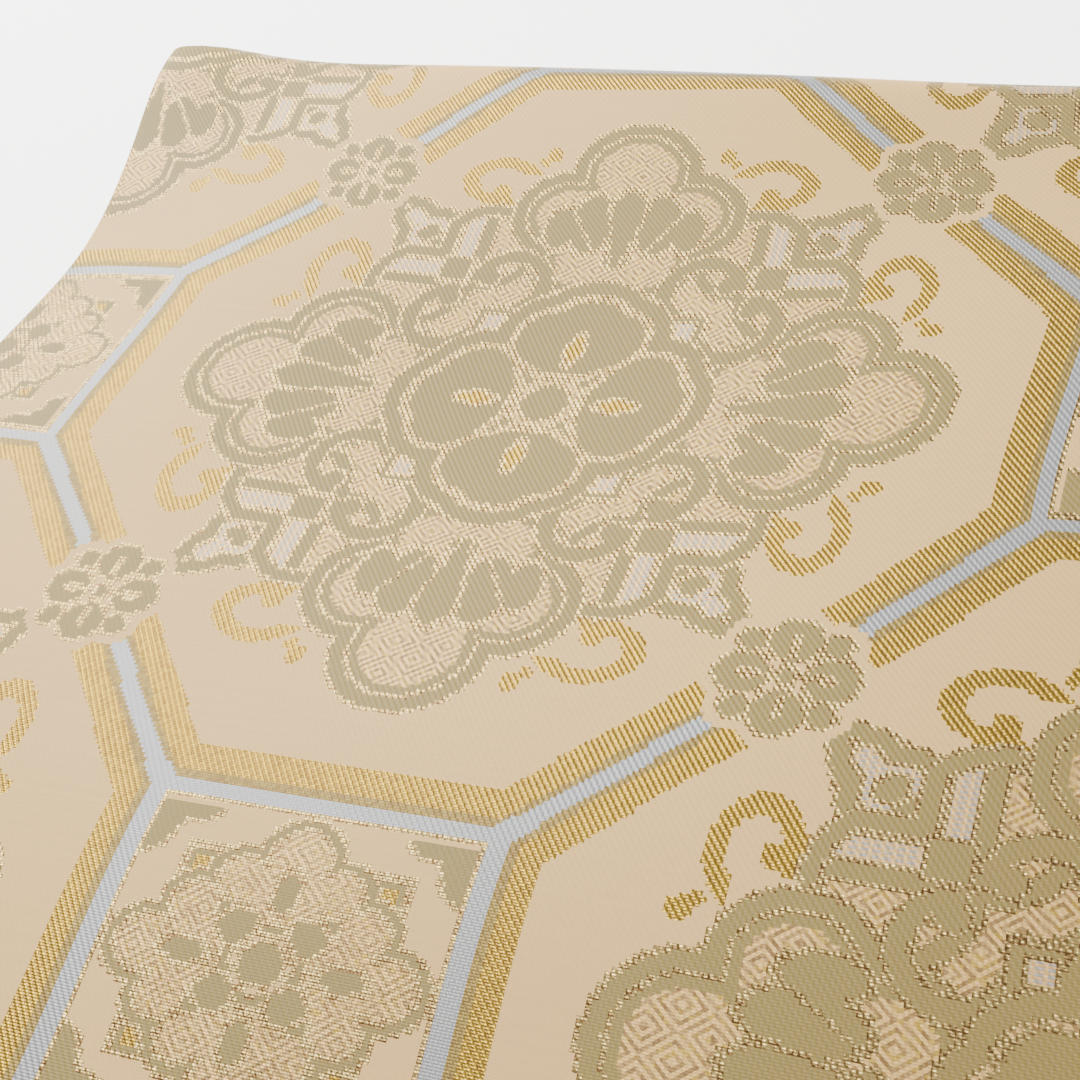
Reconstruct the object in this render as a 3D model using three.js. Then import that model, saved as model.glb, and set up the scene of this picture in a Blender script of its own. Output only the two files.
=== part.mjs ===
// An obi sash of brocade with a plain back, folded in half three times and laid flat.
//
// Units are millimetres and +Z is up. X runs across the sash, from one long edge to the other. Y runs
// along its folded length, and +Y is the end where all eight plies turn over together. The origin is
// under the middle of the pile.
//
// Each ply is two cloths sewn together along both long edges: the brocade front and the plain back.
// From the top, at the -Y end: ply 1 turns under to become ply 4, and plies 2 and 3 turn inside it.
// Ply 5 is the sash's outer end, ply 6 its inner end, and ply 7 turns under to become ply 8.

import * as THREE from "three";

// Driving dimensions.
const SASH_WIDTH = 310;
const FOLDED_LENGTH = 550;
const CLOTH = 1.0; // each of the two cloths of a ply
const SEAM_GAP = 0.3; // between the two cloths
const AIR_GAP = 0.4; // between one ply and the next
const PLIES = 8;

const HALF_WIDTH = SASH_WIDTH / 2;
const NEAR_END = -FOLDED_LENGTH / 2;
const PLY = 2 * CLOTH + SEAM_GAP; // both cloths
const PLY_PITCH = PLY + AIR_GAP;
const PILE_HEIGHT = PLIES * PLY_PITCH - AIR_GAP;

// The turned ends: how far each fold stands out past the flat plies, and where it starts.
const FAR_FOLD_BULGE = 10.5;
const FAR_FOLD_START = FOLDED_LENGTH / 2 - FAR_FOLD_BULGE;
const UPPER_FOLD_BULGE = 6;
const UPPER_FOLD_START = NEAR_END + UPPER_FOLD_BULGE;
const LOWER_FOLD_BULGE = PLY + AIR_GAP / 2;
const LOWER_FOLD_BACK = 3; // how far the lower near fold lies behind the upper one
const LOWER_FOLD_START = NEAR_END + LOWER_FOLD_BACK + LOWER_FOLD_BULGE;
const TURNED_UNDER = 48; // how far a ply is followed once it has turned inside the pile
const TURNED_UNDER_END = UPPER_FOLD_START + TURNED_UNDER;

// Heights above the surface that the sash lies on.
const LOWER_TURN_TOP = PLY_PITCH + PLY; // the upper face of ply 7
const UPPER_TURN_BOTTOM = 4 * PLY_PITCH; // the lower face of ply 4

// How the top of the pile has settled: each row is a soft hollow, or a rise where depth is negative.
// The third row is the far left corner, where the thick fold springs up.
const SETTLING = [
  { x: -77, y: 201, depth: 5.0, acrossReach: 32, alongReach: 28 },
  { x: -78, y: 264, depth: -2.2, acrossReach: 62, alongReach: 13 },
  { x: -162, y: 263, depth: -6.8, acrossReach: 13, alongReach: 15 },
  { x: -55, y: 141, depth: -1.0, acrossReach: 30, alongReach: 20 },
  { x: 62, y: 158, depth: 2.2, acrossReach: 46, alongReach: 40 },
  { x: 116, y: 240, depth: 1.5, acrossReach: 30, alongReach: 26 },
  { x: -42, y: 58, depth: 1.6, acrossReach: 58, alongReach: 34 },
  { x: 84, y: 12, depth: -1.3, acrossReach: 40, alongReach: 50 },
  { x: -92, y: -58, depth: 2.0, acrossReach: 40, alongReach: 52 },
  { x: 32, y: -122, depth: 1.8, acrossReach: 54, alongReach: 38 },
  { x: -58, y: -204, depth: 1.1, acrossReach: 48, alongReach: 30 },
  { x: 100, y: -196, depth: -0.9, acrossReach: 36, alongReach: 38 },
];
const EDGE_DROP = 1.3; // how far the long edges lie below the middle
const EDGE_REACH = 7;

// The far fold runs a little askew: each row bends its line towards -Y around one place.
const FOLD_SKEW = [
  { x: 30, pull: 10, reach: 92 },
  { x: 150, pull: 3, reach: 40 },
];

// The long edges wander: each row is one slow sideways wave along the cloth.
const SWAY = [
  { reach: 1.1, length: 118, start: 0.9 },
  { reach: 0.6, length: 61, start: 2.3 },
];

// How far each hidden ply's long edges lie from the nominal line, from ply 2 down to ply 7.
const HIDDEN_PLY_OFFSETS = [-0.5, 0.6, -0.9, 0.2, -0.3, 0.7];
const HIDDEN_EDGE_INSET = 0.4;
const HIDDEN_EDGE_GROOVE = 1.3;

// Where the lattices have their lines, as shares of the half width.
const ACROSS = [-1, -0.975, -0.92, -0.8, -0.62, -0.42, -0.2, 0.02, 0.26, 0.5, 0.74, 0.92, 0.975, 1];
const TOP_SPANS = 21;
const TOP_CLOSE_SPANS = 4; // the first of the top's spans, set close for the crest by the far fold
const TOP_CLOSE_SHARE = 0.095; // the share of the top that they take up
const HIDDEN_PLIES_SPANS = 19; // of the top's spans, those that lie over the plies that don't show
const UNDERSIDE_SPANS = 4;
const FAR_FOLD_SPANS = 10;
const NEAR_FOLD_SPANS = 7;
const TURNED_UNDER_SPANS = 2;

const bell = (distance, reach) => Math.exp(-0.5 * (distance / reach) ** 2);
const mix = (from, to, share) => from + (to - from) * share;

// The upper face of the pile.
function pileTop(x, y) {
  const hollows = SETTLING.reduce(
    (sum, hollow) =>
      sum + hollow.depth * bell(x - hollow.x, hollow.acrossReach) * bell(y - hollow.y, hollow.alongReach),
    0,
  );
  return PILE_HEIGHT - hollows - EDGE_DROP * Math.exp((Math.abs(x) - HALF_WIDTH) / EDGE_REACH);
}

// Where the far fold starts to turn down.
function farFoldLine(x) {
  return FOLD_SKEW.reduce((line, row) => line - row.pull * bell(x - row.x, row.reach), FAR_FOLD_START);
}

// How far a fold stands out: less at the corners, where the cloth is tucked in.
function tuckedBulge(bulge, x) {
  const cornerReach = 3;
  const cornerTuck = 0.4; // as a share of the bulge
  return bulge * (1 - cornerTuck * Math.exp((Math.abs(x) - HALF_WIDTH) / cornerReach));
}

// The sideways wander of the cloth at one distance along it.
function sway(distance) {
  return SWAY.reduce(
    (sum, wave) => sum + wave.reach * Math.sin((2 * Math.PI * distance) / wave.length + wave.start),
    0,
  );
}

// A half ellipse that carries a cloth round a fold, from its lower face (share 0) to its upper (share 1).
function foldPoint({ start, bulge, bottom, top, depth, share }) {
  const turn = Math.PI * (share - 0.5);
  const middle = (bottom + top) / 2;
  return {
    y: start + bulge * Math.cos(turn) - Math.sign(bulge) * depth * Math.cos(turn),
    z: middle + ((top - bottom) / 2 - depth) * Math.sin(turn),
  };
}

// Where one of the top's lattice lines lies, as a share of the top.
function topShare(line) {
  if (line < TOP_CLOSE_SPANS) return (line / TOP_CLOSE_SPANS) * TOP_CLOSE_SHARE;
  return mix(TOP_CLOSE_SHARE, 1, (line - TOP_CLOSE_SPANS) / (TOP_SPANS - TOP_CLOSE_SPANS));
}

const TOP_STRETCH = {
  spans: TOP_SPANS,
  shareOf: topShare,
  point: (x, depth, share) => {
    const y = mix(farFoldLine(x), UPPER_FOLD_START, share);
    return { y, z: pileTop(x, y) - depth };
  },
};

// The stretches of the outer cloth in order, each a function of x, depth into the cloth and share of
// the stretch. The first and last are inside the pile.
const OUTER_STRETCHES = [
  {
    spans: TURNED_UNDER_SPANS,
    point: (x, depth, share) => ({
      y: mix(TURNED_UNDER_END, LOWER_FOLD_START, share),
      z: LOWER_TURN_TOP - depth,
    }),
  },
  {
    isFold: true,
    spans: NEAR_FOLD_SPANS,
    point: (x, depth, share) =>
      foldPoint({
        start: LOWER_FOLD_START,
        bulge: -LOWER_FOLD_BULGE,
        bottom: 0,
        top: LOWER_TURN_TOP,
        depth,
        share: 1 - share,
      }),
  },
  {
    spans: UNDERSIDE_SPANS,
    point: (x, depth, share) => ({ y: mix(LOWER_FOLD_START, farFoldLine(x), share), z: depth }),
  },
  {
    isFold: true,
    spans: FAR_FOLD_SPANS,
    point: (x, depth, share) =>
      foldPoint({
        start: farFoldLine(x),
        bulge: tuckedBulge(FAR_FOLD_BULGE, x),
        bottom: 0,
        top: pileTop(x, farFoldLine(x)),
        depth,
        share,
      }),
  },
  TOP_STRETCH,
  {
    isFold: true,
    spans: NEAR_FOLD_SPANS,
    point: (x, depth, share) =>
      foldPoint({
        start: UPPER_FOLD_START,
        bulge: -tuckedBulge(UPPER_FOLD_BULGE, x),
        bottom: UPPER_TURN_BOTTOM,
        top: pileTop(x, UPPER_FOLD_START),
        depth,
        share: 1 - share,
      }),
  },
  {
    spans: TURNED_UNDER_SPANS,
    point: (x, depth, share) => ({
      y: mix(UPPER_FOLD_START, TURNED_UNDER_END, share),
      z: UPPER_TURN_BOTTOM + depth,
    }),
  },
];

// The lattice lines along the outer cloth, each with its distance along the flat stretches: the cloth
// doesn't wander sideways as it goes round a fold.
const OUTER_LINES = [];
OUTER_STRETCHES.forEach((stretch, index) => {
  const start = OUTER_LINES.at(-1)?.distance ?? 0;
  const long = stretch.isFold ? 0 : Math.abs(stretch.point(0, 0, 1).y - stretch.point(0, 0, 0).y);
  for (let step = index === 0 ? 0 : 1; step <= stretch.spans; step += 1) {
    const share = stretch.shareOf ? stretch.shareOf(step) : step / stretch.spans;
    OUTER_LINES.push({ stretch, share, distance: start + long * share });
  }
});

// A closed body on a lattice of counts[0] x counts[1] x counts[2] points, of which only the outside is
// used. pointAt gives the place of each.
function latticeBody(counts, pointAt) {
  const numbers = new Map();
  const positions = [];
  const triangles = [];
  const vertex = (place) => {
    const key = place.join();
    if (!numbers.has(key)) {
      numbers.set(key, numbers.size);
      positions.push(...pointAt(...place));
    }
    return numbers.get(key);
  };
  for (let fixed = 0; fixed < 3; fixed += 1) {
    const first = (fixed + 1) % 3;
    const second = (fixed + 2) % 3;
    for (const side of [0, counts[fixed] - 1]) {
      for (let a = 0; a < counts[first] - 1; a += 1) {
        for (let b = 0; b < counts[second] - 1; b += 1) {
          const corner = (da, db) => {
            const place = [0, 0, 0];
            place[fixed] = side;
            place[first] = a + da;
            place[second] = b + db;
            return vertex(place);
          };
          const [p, q, r, s] = [corner(0, 0), corner(1, 0), corner(1, 1), corner(0, 1)];
          if (side === 0) triangles.push(p, r, q, p, s, r);
          else triangles.push(p, q, r, p, r, s);
        }
      }
    }
  }
  const geometry = new THREE.BufferGeometry();
  geometry.setAttribute("position", new THREE.Float32BufferAttribute(positions, 3));
  geometry.setIndex(signedVolume(positions, triangles) > 0 ? triangles : triangles.toReversed());
  geometry.computeVertexNormals();
  return geometry;
}

function signedVolume(positions, triangles) {
  const corner = (index) => new THREE.Vector3().fromArray(positions, 3 * index);
  let volume = 0;
  for (let i = 0; i < triangles.length; i += 3) {
    const [a, b, c] = [corner(triangles[i]), corner(triangles[i + 1]), corner(triangles[i + 2])];
    volume += a.dot(b.cross(c)) / 6;
  }
  return volume;
}

// One of the two cloths of the outer stretch, between two depths below the brocade's face.
function outerCloth(nearFace, farFace) {
  return latticeBody([OUTER_LINES.length, ACROSS.length, 2], (i, j, k) => {
    const { stretch, share, distance } = OUTER_LINES[i];
    const x = ACROSS[j] * HALF_WIDTH;
    const { y, z } = stretch.point(x, k === 0 ? nearFace : farFace, share);
    return [x + sway(distance), y, z];
  });
}

// The plies that don't show, as one body: its sides are ridged, with a ridge for each ply's edge.
function hiddenPlies() {
  const plies = HIDDEN_PLY_OFFSETS.length;
  const levels = 2 * plies + 1; // a groove under and over each ply, and a ridge between
  const clearance = PLY_PITCH + 1; // of the nose inside the far fold
  const leastNose = 0.2;
  const foldLine = OUTER_LINES.findIndex(({ stretch }) => stretch === TOP_STRETCH) - 1;
  return latticeBody([HIDDEN_PLIES_SPANS + 2, ACROSS.length, levels], (i, j, k) => {
    const x = ACROSS[j] * HALF_WIDTH;
    const spansFromFold = Math.max(i - 1, 0); // the first line is the nose's, past the start of the fold
    const { y, z: top } = TOP_STRETCH.point(x, PLY_PITCH, topShare(spansFromFold));
    const level = k / (levels - 1);
    const roundness = Math.sqrt(1 - (2 * level - 1) ** 2);
    const nose = i === 0 ? leastNose + (tuckedBulge(FAR_FOLD_BULGE, x) - clearance) * roundness : 0;
    const isRidge = k % 2 === 1;
    const offset = isRidge ? HIDDEN_PLY_OFFSETS[plies - (k + 1) / 2] : HIDDEN_EDGE_GROOVE;
    const inset = Math.abs(ACROSS[j]) === 1 ? Math.sign(x) * (offset + HIDDEN_EDGE_INSET) : 0;
    const wander = sway(OUTER_LINES[foldLine + spansFromFold].distance);
    return [x - inset + wander, y + nose, mix(PLY_PITCH, top, level)];
  });
}

// Plies 2 and 3 where they turn over inside the upper near fold.
function innerNearFold() {
  const flatLines = 4;
  const foldLevels = 7;
  const inset = 1.2; // inside the upper near fold, at its nose and at the long edges
  const start = UPPER_FOLD_START + CLOTH / 2;
  const bottom = UPPER_TURN_BOTTOM + PLY_PITCH;
  const nose = UPPER_FOLD_BULGE - PLY_PITCH - inset;
  return latticeBody([flatLines + 1, ACROSS.length, foldLevels], (i, j, k) => {
    const x = ACROSS[j] * (HALF_WIDTH - inset);
    const share = k / (foldLevels - 1);
    const y = mix(TURNED_UNDER_END, start, i / flatLines);
    const top = pileTop(x, y) - PLY_PITCH;
    const out = i === flatLines ? tuckedBulge(nose, x) * Math.sqrt(1 - (2 * share - 1) ** 2) : 0;
    return [x, y - out, mix(bottom, top, share)];
  });
}

// One cloth of one of the sash's two sewn ends, which lie between the near folds.
function sashEnd({ end, shift }, bottom) {
  const lines = 3;
  const inset = 0.5; // at the long edges
  return latticeBody([lines, ACROSS.length, 2], (i, j, k) => {
    const x = ACROSS[j] * (HALF_WIDTH - inset);
    const y = mix(end + tuckedCorner(x), TURNED_UNDER_END, i / (lines - 1));
    return [x + shift, y, bottom + k * CLOTH];
  });
}

// The sewn ends' corners are rounded: how far the end draws back at this x.
function tuckedCorner(x) {
  const cornerReach = 5;
  const steepness = 0.7;
  return Math.max(0, cornerReach - (HALF_WIDTH - Math.abs(x))) * steepness;
}

const FINISHES = {
  brocade: { color: 0xdcc8a6, roughness: 0.62, metalness: 0.1 },
  plainBack: { color: 0xe6d9c2, roughness: 0.75, metalness: 0 },
};

function clothMesh(name, geometry, finish) {
  const mesh = new THREE.Mesh(geometry, new THREE.MeshStandardMaterial(FINISHES[finish]));
  mesh.name = name;
  return mesh;
}

const backNear = CLOTH + SEAM_GAP;

// The two sewn ends lie back to back: the outer end, ply 5, has its brocade upwards, and the inner
// end, ply 6, has its brocade downwards.
const outerEnd = { end: NEAR_END + 4.5, shift: 0.7 };
const innerEnd = { end: NEAR_END + 9, shift: -0.8 };
const outerEndBottom = 3 * PLY_PITCH;
const innerEndBottom = 2 * PLY_PITCH;

const sash = new THREE.Group();
sash.add(
  clothMesh("outer_stretch_front", outerCloth(0, CLOTH), "brocade"),
  clothMesh("outer_stretch_back", outerCloth(backNear, PLY), "plainBack"),
  clothMesh("hidden_plies", hiddenPlies(), "brocade"),
  clothMesh("inner_near_fold", innerNearFold(), "brocade"),
  clothMesh("outer_end_front", sashEnd(outerEnd, outerEndBottom + backNear), "brocade"),
  clothMesh("outer_end_back", sashEnd(outerEnd, outerEndBottom), "plainBack"),
  clothMesh("inner_end_front", sashEnd(innerEnd, innerEndBottom), "brocade"),
  clothMesh("inner_end_back", sashEnd(innerEnd, innerEndBottom + backNear), "plainBack"),
);

// The origin goes under the middle of the pile, at the height of the surface that it lies on.
const extent = new THREE.Box3().setFromObject(sash);
const middle = extent.getCenter(new THREE.Vector3());
sash.position.set(-middle.x, -middle.y, -extent.min.z);

export default sash;
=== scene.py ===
"""A folded obi sash: brocade on the outside, a plain cloth behind it, eight plies lying in a flat pile.

The sash is one long ribbon of two cloths. Every piece here is a stretch of that ribbon, made as a thin
closed shell, with its place along the uncut cloth kept on it so that the weave runs on round the folds.
Sizes in the code are in millimetres, and the meshes are in metres.
"""

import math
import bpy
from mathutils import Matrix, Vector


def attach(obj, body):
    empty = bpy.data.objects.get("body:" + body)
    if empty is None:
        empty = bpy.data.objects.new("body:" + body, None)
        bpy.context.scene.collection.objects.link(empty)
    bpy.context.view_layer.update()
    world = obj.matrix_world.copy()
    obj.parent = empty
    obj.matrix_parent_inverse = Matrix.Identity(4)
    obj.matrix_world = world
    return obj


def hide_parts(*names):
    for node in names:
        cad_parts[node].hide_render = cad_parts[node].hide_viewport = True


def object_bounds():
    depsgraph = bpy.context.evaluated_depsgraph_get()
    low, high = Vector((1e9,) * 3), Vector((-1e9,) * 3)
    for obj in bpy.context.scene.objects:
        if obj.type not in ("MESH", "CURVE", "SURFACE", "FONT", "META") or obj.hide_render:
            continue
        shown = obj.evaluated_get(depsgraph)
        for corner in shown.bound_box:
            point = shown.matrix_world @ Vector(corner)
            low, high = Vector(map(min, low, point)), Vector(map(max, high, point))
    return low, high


bl_info = {
    "name": "Folded obi sash",
    "version": (1, 0, 0),
    "blender": (4, 5, 0),
    "location": "View3D > Sidebar > Obi",
    "description": "Builds the cloths and finishes of a folded obi sash round its fixed frame",
    "category": "Object",
}

import bmesh
import bpy
import numpy as np
from mathutils import Matrix, Vector

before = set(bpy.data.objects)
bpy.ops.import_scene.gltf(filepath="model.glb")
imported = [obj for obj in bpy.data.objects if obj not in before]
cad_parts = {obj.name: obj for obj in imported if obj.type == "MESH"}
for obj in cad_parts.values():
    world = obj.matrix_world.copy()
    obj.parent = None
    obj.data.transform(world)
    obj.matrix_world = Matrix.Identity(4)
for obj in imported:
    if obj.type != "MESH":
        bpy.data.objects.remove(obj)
CAD_LOW, CAD_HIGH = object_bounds()

MM = 0.001
FABRIC_MAP = "cloth"  # the UV map that holds a point's place on the uncut cloth, in metres

# ---------------------------------------------------------------------------------------------------
# The pile
# ---------------------------------------------------------------------------------------------------

PLIES = 8
CLOTH = 1.0  # the thickness of each of the two cloths
SEAM_GAP = 0.3  # between the two cloths of a ply
AIR_GAP = 0.4  # between one ply and the next
PLY = 2 * CLOTH + SEAM_GAP
PLY_PITCH = PLY + AIR_GAP
PILE_HEIGHT = PLIES * PLY_PITCH - AIR_GAP
HALF_WIDTH = 155.0
PILE_SHIFT = (-0.2, 0.8)  # from the fold lines' own centre to the middle of the pile

# Where the flat plies give way to a fold or a sewn end, along the pile.
FAR_FOLD_START = 264.5
UPPER_FOLD_START = -269.0
LOWER_FOLD_START = -269.5
TURNED_UNDER_END = -221.0
OUTER_END = -270.5
INNER_END = -266.0
SEWN_ENDS = {5: OUTER_END, 6: INNER_END}  # the plies that finish in one

# How the top of the pile has settled: each row is a soft hollow, or a rise where the depth is negative.
# A row is x, y, depth, and its reach across and along.
SETTLING = (
    (-77, 201, 5.0, 32, 28),
    (-78, 264, -2.2, 62, 13),
    (-162, 263, -6.8, 13, 15),
    (-55, 141, -1.0, 30, 20),
    (62, 158, 2.2, 46, 40),
    (116, 240, 1.5, 30, 26),
    (-42, 58, 1.6, 58, 34),
    (84, 12, -1.3, 40, 50),
    (-92, -58, 2.0, 40, 52),
    (32, -122, 1.8, 54, 38),
    (-58, -204, 1.1, 48, 30),
    (100, -196, -0.9, 36, 38),
)

# Main creases of the top ply: shallow troughs and ridges that wander and fade. A row is
# its start x and y, its end x and y, its height, and how wide it is.
CREASES = (
    (-150, 232, -128, 170, -0.55, 9),
    (-152, 196, -120, 128, 0.45, 12),
    (-20, 262, -44, 226, -0.45, 10),
    (22, 226, 58, 188, -0.5, 13),
    (40, 262, 84, 214, 0.4, 14),
    (-30, 118, 54, 82, -0.5, 16),
    (-140, 60, -70, 22, 0.45, 15),
    (60, -20, 148, -70, -0.5, 17),
    (-40, -90, 66, -150, 0.5, 18),
    (-150, -130, -60, -190, -0.45, 15),
    (70, -210, 150, -240, 0.4, 12),
)

# The far folds run a little askew: a row is x, how far the line is pulled back there, and its reach.
FOLD_SKEW = ((30, 10, 92), (150, 3, 40))

# The long edges wander by two slow waves along the cloth: reach, length and start.
SWAY = ((1.1, 118, 1.008), (0.6, 61, 5.908))

# How much narrower each ply lies than the top one, by its number from the top.
PLY_INSET = {1: 0.0, 2: -0.1, 3: 1.0, 4: 0.2, 5: 0.6, 6: 0.1, 7: 0.9, 8: 0.3}
INSET_REACH = 40  # how far inwards a ply's cloth is drawn in to be narrower


def bell(distance, reach):
    return np.exp(-0.5 * (distance / reach) ** 2)


def crease_height(x, y):
    """How far the main creases raise or lower the top of the pile."""
    total = np.zeros(np.broadcast(x, y).shape)
    for start_x, start_y, end_x, end_y, height, width in CREASES:
        run = np.array([end_x - start_x, end_y - start_y], float)
        length = np.hypot(*run)
        run /= length
        along = (x - start_x) * run[0] + (y - start_y) * run[1]
        off = (y - start_y) * run[0] - (x - start_x) * run[1]
        off = off + 2.2 * np.sin(along / length * 5.1 + start_x)
        fade = bell(along - length / 2, length * 0.34)
        swell = 1 + 0.35 * np.sin(along / 11.0 + end_y)
        total += height * fade * swell * bell(off, width * (1 + 0.3 * np.sin(along / 17.0)))
    return total


def edge_pucker(x, y):
    """Where the long seams draw the cloth in, its surface ripples and dies away inwards."""
    inwards = HALF_WIDTH - np.abs(x)
    side = np.where(x < 0, 0.0, 2.1)
    wave = np.sin(y / 7.3 + side) + 0.6 * np.sin(y / 4.1 + 1.7 * side + 0.8)
    return 0.16 * wave * np.exp(-inwards / 5.5)


def pile_top(x, y):
    """The height of the top of the pile, with its hollows, creases and dropping edges."""
    hollows = sum(
        depth * bell(x - cx, across) * bell(y - cy, along)
        for cx, cy, depth, across, along in SETTLING
    )
    edge_drop = 1.3 * np.exp((np.abs(x) - HALF_WIDTH) / 7)
    return PILE_HEIGHT - hollows - edge_drop + crease_height(x, y) + edge_pucker(x, y)


def settled(nominal, x, y):
    """The height of a level of the pile, given its height in a pile that has not settled."""
    share = np.clip((nominal - PLY_PITCH) / (PILE_HEIGHT - 2 * PLY_PITCH), 0, 1)
    return nominal - (PILE_HEIGHT - pile_top(x, y)) * share


def far_line(x):
    """Where the far folds start, across the cloth."""
    return FAR_FOLD_START - sum(pull * bell(x - at, reach) for at, pull, reach in FOLD_SKEW)


def wander(y):
    """How far the long edges stray sideways."""
    return sum(reach * np.sin(start - 2 * np.pi * y / length) for reach, length, start in SWAY)


def tuck(x):
    """The share of its bulge that a fold keeps: less at the corners, where the cloth is tucked in."""
    return 1 - 0.4 * np.exp((np.abs(x) - HALF_WIDTH) / 3)


def ply_bottom(ply):
    return (PLIES - ply) * PLY_PITCH


def brocade_is_up(ply):
    return ply % 2 == 1


def level(ply, depth):
    """The height of the face at this depth below the brocade's face, in an unsettled pile."""
    if brocade_is_up(ply):
        return ply_bottom(ply) + PLY - depth
    return ply_bottom(ply) + depth


class Flat:
    """A stretch of the ribbon that lies flat as one ply."""

    def __init__(self, ply, start, end, spans):
        self.ply, self.start, self.end, self.spans = ply, start, end, spans

    def ends(self, x):
        return [edge(x) if callable(edge) else edge + 0 * x for edge in (self.start, self.end)]

    def place(self, x, depth, share):
        start, end = self.ends(x)
        y = start + (end - start) * share
        return y, settled(level(self.ply, depth), x, y), PLY_INSET[self.ply]


class Turn:
    """A fold that carries the ribbon from one ply to another, as half an ellipse."""

    def __init__(self, first, last, start, bulge, spans, brocade_outside):
        self.first, self.last, self.start, self.bulge = first, last, start, bulge
        self.spans, self.brocade_outside = spans, brocade_outside

    def place(self, x, depth, share):
        start = self.start(x) if callable(self.start) else self.start + 0 * x
        upper, lower = min(self.first, self.last), max(self.first, self.last)
        inwards = depth if self.brocade_outside else PLY - depth
        top = settled(ply_bottom(upper) + PLY - inwards, x, start)
        bottom = settled(ply_bottom(lower) + inwards, x, start)
        turn = math.pi * (share - 0.5) * (1 if self.first > self.last else -1)
        out = (abs(self.bulge) - inwards) * tuck(x) * math.copysign(1, self.bulge)
        inset = PLY_INSET[self.first] + (PLY_INSET[self.last] - PLY_INSET[self.first]) * share
        return (
            start + out * math.cos(turn),
            (bottom + top) / 2 + (top - bottom) / 2 * math.sin(turn),
            inset,
        )


# The ribbon in order, from its inner sewn end to its outer one.
INNER_STRETCH = (
    Flat(6, INNER_END, far_line, 44),
    Turn(6, 3, far_line, 5.1, 12, True),
    Flat(3, far_line, UPPER_FOLD_START, 40),
    Turn(3, 2, UPPER_FOLD_START, -3.3, 12, False),
    Flat(2, UPPER_FOLD_START, far_line, 40),
    Turn(2, 7, far_line, 7.8, 14, False),
    Flat(7, far_line, TURNED_UNDER_END, 40),
)
OUTER_STRETCH = (
    Flat(7, TURNED_UNDER_END, LOWER_FOLD_START, 6),
    Turn(7, 8, LOWER_FOLD_START, -2.5, 10, True),
    Flat(8, LOWER_FOLD_START, far_line, 60),
    Turn(8, 1, far_line, 10.5, 30, True),
    Flat(1, far_line, UPPER_FOLD_START, 270),
    Turn(1, 4, UPPER_FOLD_START, -6.0, 18, True),
    Flat(4, UPPER_FOLD_START, TURNED_UNDER_END, 6),
)
END_STRETCH = (
    Flat(4, TURNED_UNDER_END, far_line, 40),
    Turn(4, 5, far_line, 2.4, 10, False),
    Flat(5, far_line, OUTER_END, 44),
)
TOP_PLY = OUTER_STRETCH[4]


def stations(stretch, thinning=1):
    """(part, share) for each line of a stretch. The first and last lines are close together, for a
    rounded end."""
    close = (0.0, 0.09, 0.27, 0.55)  # distances from the end
    found = []
    for number, part in enumerate(stretch):
        spans = max(4, round(part.spans / thinning))
        shares = list(np.linspace(0, 1, spans + 1))
        if number > 0:
            shares = shares[1:]
        found += [(part, share) for share in shares]

    def beside(part, at_end):
        start, end = part.ends(np.zeros(1))
        length = abs(float(end[0] - start[0]))
        return [(part, 1 - gap / length if at_end else gap / length) for gap in close]

    return beside(stretch[0], False) + found[1:-1] + beside(stretch[-1], True)[::-1]


def columns(inset, count):
    """Places across the cloth, closer together at the long edges, and each one's distance inwards."""
    half = HALF_WIDTH - inset
    inwards = [0.0, 0.08, 0.25, 0.55, 1.4, 3.0]
    inner = np.linspace(-(half - 6), half - 6, count)
    left = [-half + step for step in inwards]
    across = np.array(left + list(inner) + [-place for place in reversed(left)])
    return across, half - np.abs(across)


def column_lengths(across, lines):
    """How far along the ribbon each line is, for each column."""
    places = []
    for part, share in lines:
        y, z, _ = part.place(across, PLY / 2, share)
        places.append(np.stack([y, z], axis=1))
    steps = np.hypot(*np.moveaxis(np.diff(np.array(places), axis=0), 2, 0))
    return np.concatenate([np.zeros((1, len(across))), np.cumsum(steps, axis=0)])


def anchored_lengths(across, stretch, lines):
    """Distances along the uncut cloth, growing from the near end of the top ply towards its far fold."""
    near = column_lengths(across, lines)
    if stretch is OUTER_STRETCH:
        anchor = next(i for i, (part, share) in enumerate(lines) if part is TOP_PLY and share == 1)
        return near[anchor] - near
    outer_lines = stations(OUTER_STRETCH)
    outer = anchored_lengths(across, OUTER_STRETCH, outer_lines)
    if stretch is INNER_STRETCH:
        return outer[0] + near[-1] - near
    return outer[-1] - near


def make_mesh(name, points, faces, material, fabric=None):
    """A smooth-shaded mesh object. points are in millimetres; fabric is each point's place on the cloth."""
    data = bpy.data.meshes.new(name)
    data.from_pydata((np.asarray(points) * MM).tolist(), [], np.asarray(faces).tolist())
    data.polygons.foreach_set("use_smooth", [True] * len(data.polygons))
    if fabric is not None:
        layer = data.uv_layers.new(name=FABRIC_MAP)
        corners = np.zeros(len(data.loops), np.int32)
        data.loops.foreach_get("vertex_index", corners)
        layer.data.foreach_set("uv", (np.asarray(fabric)[corners] * MM).ravel())
    data.materials.append(material)
    piece = bpy.data.objects.new(name, data)
    bpy.context.scene.collection.objects.link(piece)
    return piece


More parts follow.
